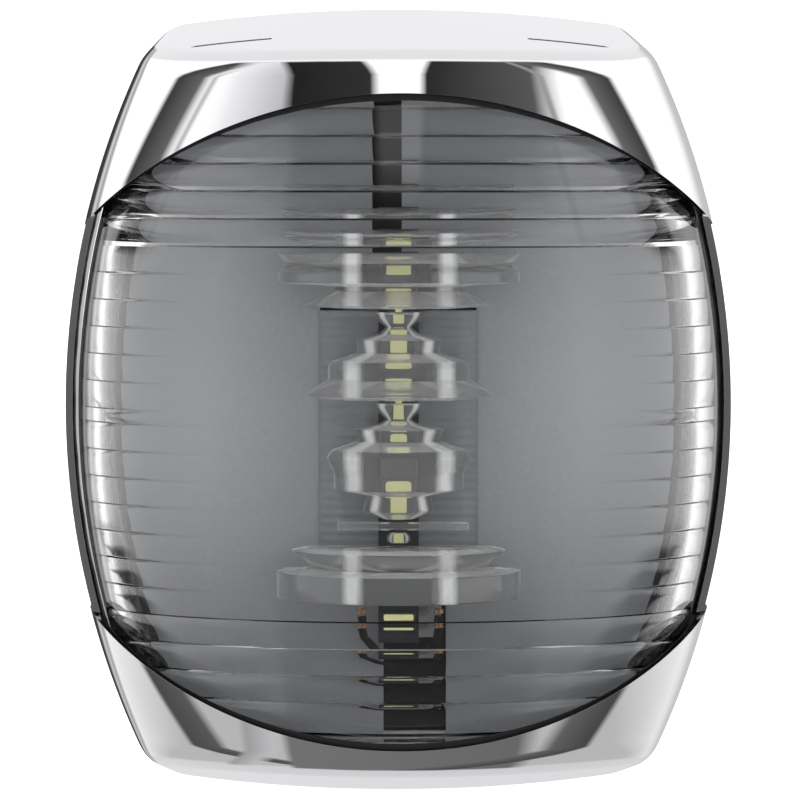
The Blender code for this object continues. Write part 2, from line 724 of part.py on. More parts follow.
def make_terminal(parts, cutters):
    """A two-way terminal in the opening of the inner frame, with its screws and the two inner leads."""
    face = -FRAME_FRONT - TERMINAL_PROUD
    low = (-TERMINAL_HALF_WIDTH, face, TERMINAL_BOTTOM)
    high = (TERMINAL_HALF_WIDTH, -FRAME_BACK, TERMINAL_TOP)
    block = box("terminal_block", low, high, parts, "pale_plastic")
    middle = (TERMINAL_BOTTOM + TERMINAL_TOP) / 2
    for word, side in (("left", -1), ("right", 1)):
        x = side * TERMINAL_SCREW_SIDE
        well = rod(
            "terminal_cutter_" + word, TERMINAL_WELL_RADIUS, 2 * TERMINAL_WELL_DEPTH, (x, face, middle),
            cutters, segments=16,
        )
        boolean(block, well)
        centre = (x, face + TERMINAL_WELL_DEPTH - GAP - TERMINAL_SCREW_LENGTH / 2, middle)
        rod(
            "terminal_screw_" + word, TERMINAL_SCREW_RADIUS, TERMINAL_SCREW_LENGTH, centre, parts,
            "zinc_steel", segments=16,
        )
    for word, route in INNER_LEADS.items():
        points = [tuple(value * MM for value in point) for point in route]
        wire("inner_lead_" + word, points, LEAD_RADIUS, parts, "black_rubber")


def make_optics(parts):
    for name, profile in OPTICS.items():
        half_turn(name, profile, parts, "clear_optic")
    (x_low, x_high), (z_low, z_high) = LINK_BAR
    bar = box(
        "link_bar",
        (x_low, -AXIS_DEPTH - LINK_BAR_DEPTH, z_low),
        (x_high, -AXIS_DEPTH, z_high),
        parts,
        "clear_optic",
    )
    bevel(bar, LINK_BAR_EDGE)


def main():
    clear_scene()
    parts = make_collection("navigation_light")
    cutters = make_collection("cutters")
    make_cover(parts, cutters)
    make_lens(parts)
    make_window_seals(parts, cutters)
    base = make_base(parts, cutters)
    make_inner_frame(parts)
    make_screens(parts, cutters)
    holder = make_holder(parts, cutters)
    make_holder_screws(base, holder, parts, cutters)
    make_board_parts(parts)
    make_posts(parts)
    make_terminal(parts, cutters)
    make_optics(parts)


main()
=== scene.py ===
import json
import math

import bmesh
import bpy
import numpy as np
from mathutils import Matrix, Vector


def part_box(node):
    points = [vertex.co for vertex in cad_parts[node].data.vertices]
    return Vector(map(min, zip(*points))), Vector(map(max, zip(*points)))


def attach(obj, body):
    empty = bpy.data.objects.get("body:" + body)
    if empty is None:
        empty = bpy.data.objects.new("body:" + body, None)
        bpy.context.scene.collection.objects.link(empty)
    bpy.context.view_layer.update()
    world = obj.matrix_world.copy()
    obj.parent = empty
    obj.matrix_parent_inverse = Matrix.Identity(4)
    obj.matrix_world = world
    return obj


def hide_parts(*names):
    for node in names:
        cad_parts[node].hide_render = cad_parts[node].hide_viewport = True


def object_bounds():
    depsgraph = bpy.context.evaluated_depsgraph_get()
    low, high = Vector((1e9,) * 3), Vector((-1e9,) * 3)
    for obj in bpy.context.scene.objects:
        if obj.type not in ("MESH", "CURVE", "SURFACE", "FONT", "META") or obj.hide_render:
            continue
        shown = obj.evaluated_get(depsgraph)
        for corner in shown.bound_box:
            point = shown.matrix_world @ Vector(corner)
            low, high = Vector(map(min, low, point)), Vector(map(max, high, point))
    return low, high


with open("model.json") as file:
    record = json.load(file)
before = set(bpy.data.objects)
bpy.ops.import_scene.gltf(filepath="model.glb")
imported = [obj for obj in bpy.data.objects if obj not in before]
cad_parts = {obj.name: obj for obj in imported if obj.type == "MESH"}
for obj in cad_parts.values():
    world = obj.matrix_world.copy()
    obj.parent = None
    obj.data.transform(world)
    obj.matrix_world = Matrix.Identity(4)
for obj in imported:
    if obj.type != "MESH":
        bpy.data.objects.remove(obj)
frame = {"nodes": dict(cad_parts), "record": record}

cadLow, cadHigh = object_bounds()
mm = 0.001
nodes = frame["nodes"]


# Shader helper.
class Link:
    # A socket of a node tree that can be used in sums.

    def __init__(self, maker, socket):
        self.maker = maker
        self.socket = socket

    def calc(self, operation, *values):
        return self.maker.node("ShaderNodeMath", {"operation": operation}, values)

    def __add__(self, other):
        return self.calc("ADD", self, other)

    __radd__ = __add__

    def __mul__(self, other):
        return self.calc("MULTIPLY", self, other)

    __rmul__ = __mul__

    def __sub__(self, other):
        return self.calc("SUBTRACT", self, other)

    def __rsub__(self, other):
        return self.calc("SUBTRACT", other, self)

    def __truediv__(self, other):
        return self.calc("DIVIDE", self, other)

    def __rtruediv__(self, other):
        return self.calc("DIVIDE", other, self)

    def __pow__(self, other):
        return self.calc("POWER", self, other)

    def __rpow__(self, other):
        return self.calc("POWER", other, self)

    def __abs__(self):
        return self.calc("ABSOLUTE", self)


class Finish:
    # A node tree being built, for a material or the world.

    def __init__(self, tree):
        self.nodes = tree.nodes
        self.links = tree.links

    def node(self, kind, settings=None, values=None, output=0):
        # Any node: its settings are set first, then the values or links of its sockets.
        made = self.nodes.new(kind)
        for name, value in (settings or {}).items():
            setattr(made, name, value)
        pairs = values.items() if isinstance(values, dict) else enumerate(values or [])
        for name, value in pairs:
            socket = made.inputs[name]
            if isinstance(value, Link):
                self.links.new(value.socket, socket)
            else:
                socket.default_value = value
        return Link(self, made.outputs[output]) if made.outputs else None

    def split(self, vector):
        made = self.nodes.new("ShaderNodeSeparateXYZ")
        self.links.new(vector.socket, made.inputs[0])
        return [Link(self, socket) for socket in made.outputs]

    def place(self, scale=(1.0, 1.0, 1.0)):
        where = self.node("ShaderNodeTexCoord", output="Object")
        return self.node("ShaderNodeMapping", None, {"Vector": where, "Scale": scale})

    def noise(self, vector, scale, detail=3.0, roughness=0.5):
        return self.node("ShaderNodeTexNoise", None, {
            "Vector": vector, "Scale": scale, "Detail": detail, "Roughness": roughness,
        })

    def mixColour(self, factor, first, second):
        return self.node(
            "ShaderNodeMix", {"data_type": "RGBA"}, {0: factor, 6: first, 7: second}, output=2
        )

    def spread(self, value, low, high, toLow, toHigh):
        return self.node("ShaderNodeMapRange", None, {
            "Value": value, "From Min": low, "From Max": high, "To Min": toLow, "To Max": toHigh,
        })

    def bump(self, height, strength, distance):
        return self.node("ShaderNodeBump", None, {
            "Height": height, "Strength": strength, "Distance": distance,
        })


def newMaterial(name):
    made = bpy.data.materials.new(name)
    made.use_nodes = True
    finish = Finish(made.node_tree)
    shader = made.node_tree.nodes["Principled BSDF"]
    return made, finish, shader


def setShader(finish, shader, values):
    for name, value in values.items():
        if isinstance(value, Link):
            finish.links.new(value.socket, shader.inputs[name])
        else:
            shader.inputs[name].default_value = value


# Mesh helpers.
def weldMap(points, tolerance=0.002 * mm):
    # One number for each set of points that share a place.
    key = np.round(points / tolerance).astype(np.int64)
    _, first, inverse = np.unique(key, axis=0, return_index=True, return_inverse=True)
    return first[inverse.reshape(-1)]


def gridQuads(across, along, keep=None):
    # Corner numbers of the quads of a grid whose points are stored column by column.
    column, row = np.meshgrid(np.arange(across - 1), np.arange(along - 1), indexing="ij")
    start = column * along + row
    quads = np.stack([start, start + along, start + along + 1, start + 1], axis=-1)
    if keep is not None:
        return quads[keep]
    return quads.reshape(-1, 4)


def splitFaces(quads):
    # Quads with two corners in one place become triangles, and slivers go.
    a, b, c, d = quads.T
    same = np.stack([a == b, b == c, c == d, d == a], axis=1)
    count = same.sum(axis=1)
    whole = quads[(count == 0) & (a != c) & (b != d)]
    single = count == 1
    pieces = []
    for corner, kept in enumerate(((0, 2, 3), (0, 1, 3), (0, 1, 2), (0, 1, 2))):
        pieces.append(quads[single & same[:, corner]][:, kept])
    triangles = np.concatenate(pieces)
    distinct = (
        (triangles[:, 0] != triangles[:, 1])
        & (triangles[:, 1] != triangles[:, 2])
        & (triangles[:, 2] != triangles[:, 0])
    )
    return whole, triangles[distinct]


def openEdges(whole, triangles):
    # Directed edges that only one face has.
    edges = [whole[:, [i, (i + 1) % 4]] for i in range(4)]
    edges += [triangles[:, [i, (i + 1) % 3]] for i in range(3)]
    edges = np.concatenate(edges)
    size = edges.max() + 1
    forward = edges[:, 0] * size + edges[:, 1]
    backward = edges[:, 1] * size + edges[:, 0]
    return edges[~np.isin(forward, backward)]


def meshFrom(name, points, faceSets, finish, smoothAngle=30.0):
    mesh = bpy.data.meshes.new(name)
    faces = [face for group in faceSets for face in group.tolist()]
    used = np.unique(np.concatenate([group.reshape(-1) for group in faceSets if len(group)]))
    number = np.zeros(len(points), np.int64)
    number[used] = np.arange(len(used))
    faces = [tuple(number[face]) for face in faces]
    mesh.from_pydata(points[used].tolist(), [], faces)
    mesh.validate()
    mesh.shade_smooth()
    if smoothAngle < 180.0:
        mesh.set_sharp_from_angle(angle=math.radians(smoothAngle))
    mesh.materials.append(finish)
    made = bpy.data.objects.new(name, mesh)
    bpy.context.scene.collection.objects.link(made)
    return made


def hollowMesh(name, outer, inner, finish, keep=None, smoothAngle=30.0):
    # A shell between two grids of the same layout, closed along every open edge.
    across, along = outer.shape[:2]
    flatOuter = outer.reshape(-1, 3)
    flatInner = inner.reshape(-1, 3)
    welded = weldMap(flatOuter)
    quads = welded[gridQuads(across, along, keep)]
    whole, triangles = splitFaces(quads)
    rim = openEdges(whole, triangles)
    shift = len(flatOuter)
    walls = np.stack([rim[:, 1], rim[:, 0], rim[:, 0] + shift, rim[:, 1] + shift], axis=1)
    points = np.concatenate([flatOuter, flatInner])
    groups = [whole, triangles, whole[:, ::-1] + shift, triangles[:, ::-1] + shift, walls]
    return meshFrom(name, points, groups, finish, smoothAngle)


def applied(obj):
    # Turns an object's modifiers into its mesh.
    bpy.context.view_layer.update()
    evaluated = obj.evaluated_get(bpy.context.evaluated_depsgraph_get())
    mesh = bpy.data.meshes.new_from_object(evaluated)
    obj.modifiers.clear()
    obj.data = mesh


def edgeBevel(obj, width, segments=2, angle=35.0):
    modifier = obj.modifiers.new("roundedEdges", "BEVEL")
    modifier.width = width
    modifier.segments = segments
    modifier.limit_method = "ANGLE"
    modifier.angle_limit = math.radians(angle)
    modifier.harden_normals = True


# Body shape.
bodyShape = {
    "halfHeight": cadHigh.z,
    "halfWidth": cadHigh.x,
    "axisDepth": 16.0 * mm,
    "sideArc": 92.0 * mm,
    "roofArc": 180.0 * mm,
    "roofSlope": 0.138,
    "crestRounding": 2.4 * mm,
}


def halfWidthAt(height, inset):
    # Half width minus the sag of an arc: the arc's radius shrinks with the inset.
    radius = bodyShape["sideArc"] - inset
    return bodyShape["halfWidth"] - inset - radius + np.sqrt(radius**2 - height**2)


def roofAt(x, y, inset):
    # Half height minus the inset, minus x squared over twice the roof's radius, falling to the front.
    drop = x**2 / (2 * bodyShape["roofArc"])
    return bodyShape["halfHeight"] - inset - drop + bodyShape["roofSlope"] * y


def planColumns(backDepth, frontCount, sideCount):
    # Columns round the plan: straight left side, half circle about the light's axis, straight right side.
    # Returns the share of the reach that goes to x, the share that goes forwards, and the y it starts from.
    axis = bodyShape["axisDepth"]
    back = -np.linspace(backDepth, axis, sideCount + 1)[:-1]
    angle = np.linspace(-math.pi / 2, math.pi / 2, frontCount)
    side = np.concatenate([-np.ones(sideCount), np.sin(angle), np.ones(sideCount)])
    forward = np.concatenate([np.zeros(sideCount), np.cos(angle), np.zeros(sideCount)])
    start = np.concatenate([back, np.full(frontCount, -axis), back[::-1]])
    return side, forward, start


def crestOf(columns, inset):
    # Reach and height where each column's side arc meets the roof, by repeated substitution.
    side, forward, start = columns
    height = np.full(side.shape, bodyShape["halfHeight"] - inset)
    for _ in range(20):
        reach = halfWidthAt(height, inset)
        height = roofAt(reach * side, start - reach * forward, inset)
    return halfWidthAt(height, inset), height


def upperRows(columns, inset, rounding, wallHeights, filletRows=9, roofRows=18):
    # Rows from the given wall heights over the rounded crest to the middle of the roof.
    # The rounding is a quadratic curve from the wall, with the crest as its control point, to the roof.
    side, forward, start = columns
    crestReach, crestHeight = crestOf(columns, inset)
    roofReach = crestReach - rounding
    roofEdge = roofAt(roofReach * side, start - roofReach * forward, inset)
    wallTop = crestHeight - rounding
    wallReach = halfWidthAt(wallTop, inset)
    t = np.linspace(0.0, 1.0, filletRows + 2)[None, :]
    curve = [(1 - t) ** 2, 2 * t * (1 - t), t**2]
    reaches = (wallReach, crestReach, roofReach)
    heights = (wallTop, crestHeight, roofEdge)
    reachRound = sum(part * reach[:, None] for part, reach in zip(curve, reaches))
    heightRound = sum(part * height[:, None] for part, height in zip(curve, heights))
    share = np.linspace(1.0, 0.0, roofRows + 1)[None, 1:]
    reachRoof = roofReach[:, None] * share
    heightRoof = roofAt(reachRoof * side[:, None], start[:, None] - reachRoof * forward[:, None], inset)
    reachWall = halfWidthAt(wallHeights, inset)
    reach = np.concatenate([reachWall, reachRound, reachRoof], axis=1)
    height = np.concatenate([wallHeights, heightRound, heightRoof], axis=1)
    return reach, height


def wholeColumns(upper, lower, middleReach, middleHeight):
    # The lower half is turned over: rows run from the middle of the floor to the middle of the roof.
    parts = [(lower[0][:, ::-1], -lower[1][:, ::-1]), (middleReach, middleHeight), upper]
    return np.concatenate([p[0] for p in parts], axis=1), np.concatenate([p[1] for p in parts], axis=1)


def placeColumns(columns, reach, height):
    # Each point's x is its reach times the side share, and its y is the start less the forward share.
    side, forward, start = columns
    return np.stack([
        reach * side[:, None], start[:, None] - reach * forward[:, None], height,
    ], axis=-1)


# Finishes.
def polishedSteel():
    made, f, shader = newMaterial("polishedSteel")
    where = f.place()
    cloud = f.noise(where, 60.0, 3.0)
    fine = f.noise(f.place(scale=(1.0, 1.0, 14.0)), 900.0, 2.0)
    setShader(f, shader, {
        "Base Color": f.mixColour(cloud, (0.80, 0.80, 0.805, 1), (0.84, 0.84, 0.84, 1)),
        "Metallic": 1.0,
        "Roughness": f.spread(cloud, 0.3, 0.7, 0.015, 0.05) + fine * 0.01,
        "Normal": f.bump(f.noise(where, 45.0, 1.0), 0.04, 0.0004),
    })
    return made


def setClear(f, shader, colour, roughness, grain):
    # Clear acrylic: a fine noise moves its roughness, and its bumps are drawn out upwards.
    setShader(f, shader, {
        "Base Color": colour,
        "Roughness": f.spread(f.noise(f.place(), 300.0, 2.0), 0.35, 0.75, 0.0, roughness),
        "IOR": 1.49,
        "Transmission Weight": 1.0,
        "Normal": f.bump(f.noise(f.place(scale=(1.0, 1.0, 0.25)), 160.0, 2.0), grain, 0.0002),
    })


def mouldedAcrylic(name, tint):
    made, f, shader = newMaterial(name)
    light = tuple(v * 1.01 for v in tint) + (1,)
    setClear(f, shader, f.mixColour(f.noise(f.place(), 90.0, 2.0), (*tint, 1), light), 0.01, 0.02)
    return made


# Painted highlights in the turned optics over an even milky share: white bands, rims and level faces stand
# in for the studio's light on them. Each pair is where a mask starts and ends, and each other value a
# share.
milkAndHighlightShares = {
    "bandReach": 7.6 * mm,  # bands stay within this radius
    "bandPlace": 0.70,
    "band": (0.05, 0.17),
    "rim": (0.965, 0.995),
    "level": (0.75, 0.97),
    "flat": (0.97, 0.995),
    "behind": (0.02 * mm, 0.01 * mm),
    "base": 0.09,
    "bandMilk": 0.42,
    "cloudMilk": 0.3,
    "rimMilk": 0.4,
    "levelMilk": 0.34,
    "most": 0.8,
}


def turnedAcrylic():
    # Clear acrylic mixed with a white one, as painted highlights for the light that a turned piece catches.
    # The white share is an even milky base, plus painted highlights: two upright bands at a share of the
    # local radius and rims at the ends of the half turn, both on turned faces only, plus the level faces
    # painted lighter, up to a limit.
    made, f, shader = newMaterial("turnedAcrylic")
    where = f.place()
    x, y, _ = f.split(where)
    axis = -bodyShape["axisDepth"]
    forward = axis - y
    far = (x * x + forward * forward) ** 0.5
    near = far.calc("MINIMUM", far, milkAndHighlightShares["bandReach"])
    offBand = abs(abs(x) - near * milkAndHighlightShares["bandPlace"])
    band = f.spread(offBand / near, *milkAndHighlightShares["band"], 1.0, 0.0)
    rim = f.spread(abs(x) / far, *milkAndHighlightShares["rim"], 0.0, 1.0)
    _, facing, level = f.split(f.node("ShaderNodeNewGeometry", output="Normal"))
    level = f.spread(abs(level), *milkAndHighlightShares["level"], 0.0, 1.0)
    outer, inner = milkAndHighlightShares["behind"]
    turned = f.spread(abs(facing), *milkAndHighlightShares["flat"], 1.0, 0.0)
    turned = turned * f.spread(y, axis - outer, axis - inner, 1.0, 0.0)
    cloud = f.noise(where, 500.0, 2.0)
    # Painted highlights: upright bands and rims on turned faces and lighter level faces, over an even milky
    # base.
    bandMilk = band * (milkAndHighlightShares["bandMilk"] + cloud * milkAndHighlightShares["cloudMilk"])
    milkAndHighlight = milkAndHighlightShares["base"] + turned * (bandMilk + rim * milkAndHighlightShares["rimMilk"])
    milkAndHighlight = milkAndHighlight + level * milkAndHighlightShares["levelMilk"]
    milkAndHighlight = milkAndHighlight.calc("MINIMUM", milkAndHighlight, milkAndHighlightShares["most"])
    tint = f.mixColour(cloud, (0.985, 0.985, 0.98, 1), (0.995, 0.995, 0.99, 1))
    setClear(f, shader, tint, 0.012, 0.03)
    milkAndHighlightShader = f.node("ShaderNodeBsdfPrincipled", None, {
        "Base Color": f.mixColour(cloud, (0.90, 0.90, 0.895, 1), (0.97, 0.97, 0.96, 1)),
        "Roughness": f.spread(cloud, 0.3, 0.7, 0.12, 0.3),
    })
    mixed = f.node("ShaderNodeMixShader", None, {0: milkAndHighlight, 1: Link(f, shader.outputs[0]), 2: milkAndHighlightShader})
    f.links.new(mixed.socket, f.nodes["Material Output"].inputs["Surface"])
    return made


def mattPlastic(name, colour, roughness=0.5, speckle=0.12, grain=0.25, scale=2200.0):
    made, f, shader = newMaterial(name)
    where = f.place()
    speck = f.noise(where, scale, 3.0, 0.7)
    cloud = f.noise(where, 40.0, 2.0)
    dark = tuple(v * (1 - speckle) for v in colour) + (1,)
    light = tuple(v * (1 + speckle) for v in colour) + (1,)
    setShader(f, shader, {
        "Base Color": f.mixColour(f.spread(speck * 0.7 + cloud * 0.3, 0.3, 0.7, 0.0, 1.0), dark, light),
        "Roughness": f.spread(speck, 0.3, 0.7, roughness * 0.85, min(1.0, roughness * 1.15)),
        "Normal": f.bump(speck, grain, 0.00004),
    })
    return made


def plainMetal(name, colour, roughness):
    made, f, shader = newMaterial(name)
    scratch = f.noise(f.place(scale=(1.0, 1.0, 9.0)), 1800.0, 3.0)
    setShader(f, shader, {
        "Base Color": f.mixColour(scratch, tuple(v * 0.8 for v in colour) + (1,), (*colour, 1)),
        "Metallic": 1.0,
        "Roughness": f.spread(scratch, 0.3, 0.7, roughness * 0.7, roughness * 1.4),
        "Normal": f.bump(scratch, 0.2, 0.00003),
    })
    return made


def ledPhosphor():
    made, f, shader = newMaterial("ledPhosphor")
    grain = f.noise(f.place(), 5000.0, 2.0)
    setShader(f, shader, {
        "Base Color": f.mixColour(grain, (0.88, 0.87, 0.36, 1), (0.96, 0.95, 0.48, 1)),
        # The emission is a faint painted glow that makes the phosphor look lit, brighter than the studio
        # light makes it.
        "Emission Color": (0.9, 0.9, 0.4, 1.0),
        "Emission Strength": 0.18,
        "Roughness": f.spread(grain, 0.3, 0.7, 0.3, 0.5),
        "Normal": f.bump(grain, 0.2, 0.00003),
    })
    return made


finishes = {
    "polished_steel": polishedSteel(),
    "clear_lens": mouldedAcrylic("clearLens", (0.97, 0.975, 0.98)),
    "clear_optic": turnedAcrylic(),
    "black_rubber": mattPlastic("blackRubber", (0.012, 0.012, 0.012), 0.6),
    "black_plastic": mattPlastic("blackPlastic", (0.014, 0.014, 0.015), 0.45),
    "pale_plastic": mattPlastic("palePlastic", (0.78, 0.78, 0.79), 0.5, 0.03),
    "grey_plastic": mattPlastic("screenGrey", (0.30, 0.305, 0.32), 0.55, 0.10),
    "holder_grey": mattPlastic("holderGrey", (0.22, 0.225, 0.24), 0.45, 0.10),
    "board_black": mattPlastic("boardBlack", (0.03, 0.032, 0.036), 0.35, 0.10),
    "phosphor_yellow": ledPhosphor(),
    "ceramic_black": mattPlastic("chipBlack", (0.02, 0.02, 0.02), 0.4),
    "diode_package": mattPlastic("diodePackage", (0.06, 0.06, 0.062), 0.4),
    "brass": plainMetal("copperPost", (0.85, 0.50, 0.28), 0.25),
    "zinc_steel": plainMetal("zincSteel", (0.62, 0.63, 0.64), 0.3),
}
slotOf = {row["node"]: row["material_slot"] for row in frame["record"]["subparts"]}
for name, obj in nodes.items():
    obj.data.materials.clear()
    obj.data.materials.append(finishes[slotOf[name]])
print("finishes made")

# Steel cover.
cover = {
    "wall": 0.8 * mm,
    "windowApex": {
        "upper": bodyShape["halfHeight"] - 10.85 * mm,
        "lower": bodyShape["halfHeight"] - 9.15 * mm,
    },
    "windowDrop": 16.5 * mm,
    "windowBack": 14.5 * mm,
    "slotWidth": 9.5 * mm,
    "slotDepth": 1.5 * mm,
    "slotOffset": 18.6 * mm,
    "slotFromBack": 27.0 * mm,
    "slotReach": 2.5 * mm,
    "edge": 0.12 * mm,
    "frontColumns": 145,
    "backColumns": 9,
    "wallRows": 26,
    "middleRows": 24,
}
# Radius of the arc from side to side: half its width squared plus its drop squared, over twice its drop.
cover["windowArc"] = (bodyShape["halfWidth"] ** 2 + cover["windowDrop"] ** 2) / (2 * cover["windowDrop"])


def windowHeights(columns, inset, half, offset=0.0):
    # Height of the window's edge on each column, where its side arc meets the arc cut through the front,
    # by repeated substitution.
    side = columns[0]
    apex = cover["windowApex"][half]
    height = np.full(side.shape, apex * 0.6)
    radius = cover["windowArc"] + offset
    for _ in range(60):
        x = halfWidthAt(height, inset) * side
        height = 0.5 * height + 0.5 * (apex - cover["windowArc"] + np.sqrt(radius**2 - x**2))
    return height


def coverColumns():
    # Plan columns as in planColumns, with one that stands exactly at the window's back edge.
    axis = bodyShape["axisDepth"]
    frontCount = cover["frontColumns"]
    back = np.linspace(0.0, cover["windowBack"], cover["backColumns"])
    straight = -np.append(back, (cover["windowBack"] + axis) / 2)
    angle = np.linspace(-math.pi / 2, math.pi / 2, frontCount)
    side = np.concatenate([-np.ones(len(straight)), np.sin(angle), np.ones(len(straight))])
    forward = np.concatenate([np.zeros(len(straight)), np.cos(angle), np.zeros(len(straight))])
    start = np.concatenate([straight, np.full(frontCount, -axis), straight[::-1]])
    return side, forward, start


def coverGrid(columns, inset, rounding):
    # Rows run from the floor's middle to the roof's middle, with even steps from each edge of the window
    # to the crest, and even steps between the window's two edges.
    _, crestHeight = crestOf(columns, inset)
    top = crestHeight - rounding
    t = np.linspace(0.0, 1.0, cover["wallRows"] + 1)[None, :-1]
    halves = []
    edges = []
    for half in ("upper", "lower"):
        edge = windowHeights(columns, inset, half)
        walls = edge[:, None] + (top - edge)[:, None] * t
        halves.append(upperRows(columns, inset, rounding, walls))
        edges.append(edge)
    t = np.linspace(0.0, 1.0, cover["middleRows"] + 2)[None, 1:-1]
    middle = -edges[1][:, None] * (1 - t) + edges[0][:, None] * t
    reach, height = wholeColumns(halves[0], halves[1], halfWidthAt(middle, inset), middle)
    return placeColumns(columns, reach, height)


def makeCover():
    # Two skins with one wall between them. The quads in front of the window are left out of both.
    columns = coverColumns()
    outer = coverGrid(columns, 0.0, bodyShape["crestRounding"])
    inner = coverGrid(columns, cover["wall"], bodyShape["crestRounding"] - cover["wall"])
    across, along = outer.shape[:2]
    rowsBelow = (along - cover["middleRows"]) // 2
    keep = np.ones((across - 1, along - 1), bool)
    first = cover["backColumns"] - 1
    keep[first : across - 1 - first, rowsBelow - 1 : along - rowsBelow] = False
    made = hollowMesh("frontCover", outer, inner, finishes["polished_steel"], keep)
    for sign in (-1.0, 1.0):
        cutter = slotCutter(sign * cover["slotOffset"], -cover["slotFromBack"])
        modifier = made.modifiers.new("slot", "BOOLEAN")
        modifier.object = cutter
        modifier.solver = "EXACT"
        applied(made)
        bpy.data.objects.remove(cutter)
    made.data.set_sharp_from_angle(angle=math.radians(30))
    edgeBevel(made, cover["edge"])
    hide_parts("front_cover")
    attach(made, "cover")


def slotCutter(x, y):
    # A flat bar with round ends, which stands through the roof.
    bm = bmesh.new()
    halfLong = cover["slotWidth"] / 2
    halfDeep = cover["slotDepth"] / 2
    turn = np.linspace(-math.pi / 2, math.pi / 2, 9)
    outwards = halfLong - halfDeep + halfDeep * np.cos(turn)
    end = np.stack([outwards, halfDeep * np.sin(turn)], axis=1)
    ring = np.array([x, y]) + np.concatenate([end, -end])
    height = float(roofAt(np.float64(x), np.float64(y), 0.0))
    bottom = [bm.verts.new((px, py, height - cover["slotReach"])) for px, py in ring]
    face = bm.faces.new(bottom)
    lifted = bmesh.ops.extrude_face_region(bm, geom=[face])
    tops = [item for item in lifted["geom"] if isinstance(item, bmesh.types.BMVert)]
    bmesh.ops.translate(bm, verts=tops, vec=(0.0, 0.0, 2 * cover["slotReach"]))
    bmesh.ops.recalc_face_normals(bm, faces=bm.faces)
    mesh = bpy.data.meshes.new("slotCutter")
    bm.to_mesh(mesh)
    bm.free()
    made = bpy.data.objects.new("slotCutter", mesh)
    bpy.context.scene.collection.objects.link(made)
    return made


makeCover()
print("cover made")

# Clear lens.
lens = {
    "inset": 1.6 * mm,
    "wall": 2.2 * mm,
    "back": -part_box("lens")[1].y,
    "ribPitch": 2.97 * mm,
    "ribFirst": (0.1 * mm, 1.3 * mm),
    "ribStrongFrom": (17.0 * mm, 21.0 * mm),
    "ribTaper": (0.037, 0.055),
    "ribTaperFrom": (0.0, 20.0 * mm),
    "ribDepth": 1.1 * mm,
    "ribFaint": 0.11 * mm,
    "ribFaintPower": 4,
    "ribCurve": (2.0, 4.0),
    "ribRiser": 0.05,
    "ribCount": (12, 11),
    "frontColumns": 121,
    "sideColumns": 7,
    "crestRows": 6,
    "roofRows": 12,
}
ribSteps = np.array([0.0, 0.025, 0.05, 0.12, 0.2, 0.3, 0.4, 0.5, 0.6, 0.7, 0.8, 0.9, 0.97])


def ribRows(first, strongFrom, count, taper, taperFrom, curve):
    # Heights of the rows on one half of the wall, and the depth there of the strong and the faint ribs.
    # Each rib is a tooth: a short riser at its bottom, then a fall by a power of what is left. Strong ribs
    # start above a height and deepen with it up to a limit; faint ones stand below it.
    start = first + np.arange(count) * lens["ribPitch"]
    height = (start[:, None] + ribSteps[None, :] * lens["ribPitch"]).reshape(-1)
    deep = start > strongFrom
    strong = np.where(deep, np.minimum(lens["ribDepth"], taper * (start - taperFrom)), 0.0)
    faint = np.where(deep, 0.0, lens["ribFaint"])
    fall = np.clip((1 - ribSteps) / (1 - lens["ribRiser"]), 0.0, 1.0) ** curve
    tooth = np.minimum(ribSteps / lens["ribRiser"], fall)
    return height, (strong[:, None] * tooth).reshape(-1), (faint[:, None] * tooth).reshape(-1)


def makeLens():
    # Two skins with the same rows: a smooth one outside, and one inside that the ribs thin from behind.
    # Faint ribs fade out towards the front's middle by a power of the side share.
    columns = planColumns(lens["back"], lens["frontColumns"], lens["sideColumns"])
    rounding = bodyShape["crestRounding"] - cover["wall"]
    words = ("ribFirst", "ribStrongFrom", "ribCount", "ribTaper", "ribTaperFrom", "ribCurve")
    halves = [ribRows(*row) for row in zip(*(lens[word] for word in words))]
    grids = []
    for inset, ribbed in ((lens["inset"], 0.0), (lens["inset"] + lens["wall"], 1.0)):
        sides = []
        for height, strong, faint in halves:
            walls = np.repeat(height[None, :], len(columns[0]), axis=0)
            reach, height = upperRows(
                columns, inset, rounding, walls, lens["crestRows"], lens["roofRows"]
            )
            depth = strong[None, :] + faint[None, :] * (columns[0] ** lens["ribFaintPower"])[:, None]
            reach[:, : len(strong)] -= ribbed * depth
            sides.append((reach, height))
        upper, lower = sides
        reach = np.concatenate([lower[0][:, ::-1], upper[0]], axis=1)
        height = np.concatenate([-lower[1][:, ::-1], upper[1]], axis=1)
        grids.append(placeColumns(columns, reach, height))
    made = hollowMesh("clearLens", grids[0], grids[1], finishes["clear_lens"], smoothAngle=28.0)
    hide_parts("lens")
    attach(made, "base")


makeLens()
print("lens made")

# Window seals.
seal = {
    "gap": 0.2 * mm,
    "wall": 0.4 * mm,
    # The lip below the window's edge: partly seal, partly painted shadow of the gap under the cover's edge.
    "lip": 0.75 * mm,
    "lipTaper": 0.86,
    "covered": 1.6 * mm,
    "behindWindow": 0.4 * mm,
    "frontColumns": 161,
    "sideColumns": 2,
    "rows": 7,
}


